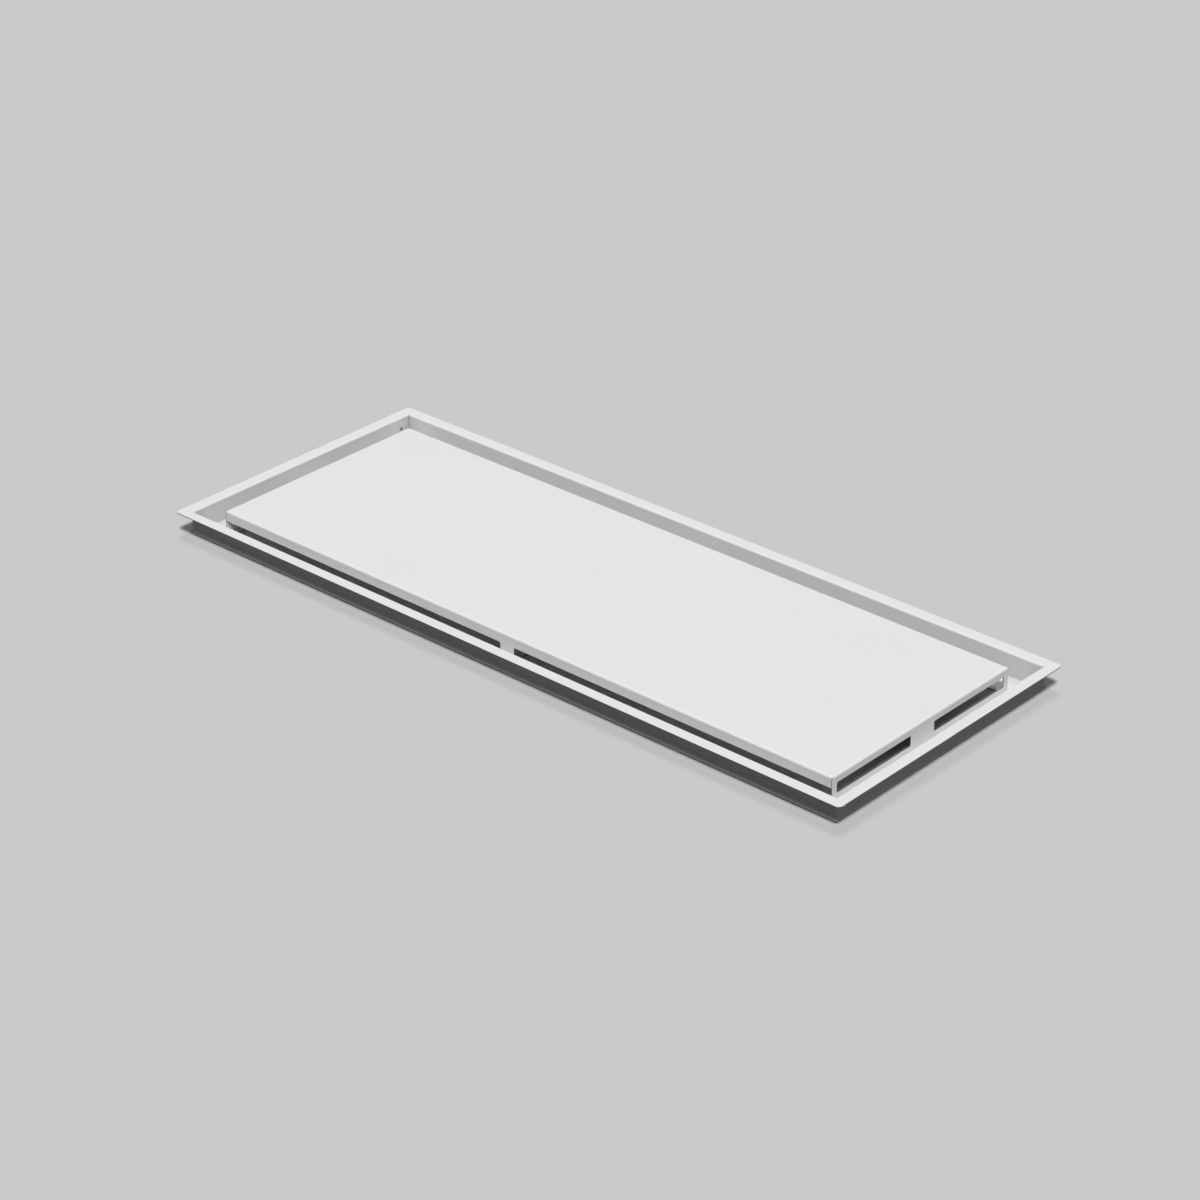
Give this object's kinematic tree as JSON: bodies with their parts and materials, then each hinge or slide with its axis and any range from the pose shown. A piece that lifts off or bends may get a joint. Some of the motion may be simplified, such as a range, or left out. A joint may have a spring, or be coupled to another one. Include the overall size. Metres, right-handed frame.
{
  "type": "ceiling vent cover",
  "caption": "Flat rectangular ceiling vent cover: folded steel frame with outward flange, and a flush folded panel inside it that lets air out all round.",
  "frame": {"origin": "under the middle of the cover, on the plane of the frame floor's underside", "axes": "+X along the long side, +Y along the short side, +Z from the floor towards the room face"},
  "size_m": [0.99, 0.39, 0.031],
  "materials": {
    "frame_coat": "satin white powder coat",
    "panel_coat": "satin white powder coat"
  },
  "bodies": {
    "root": {"frame": "frame_coat", "cover_panel": "panel_coat"}
  },
  "joints": []
}
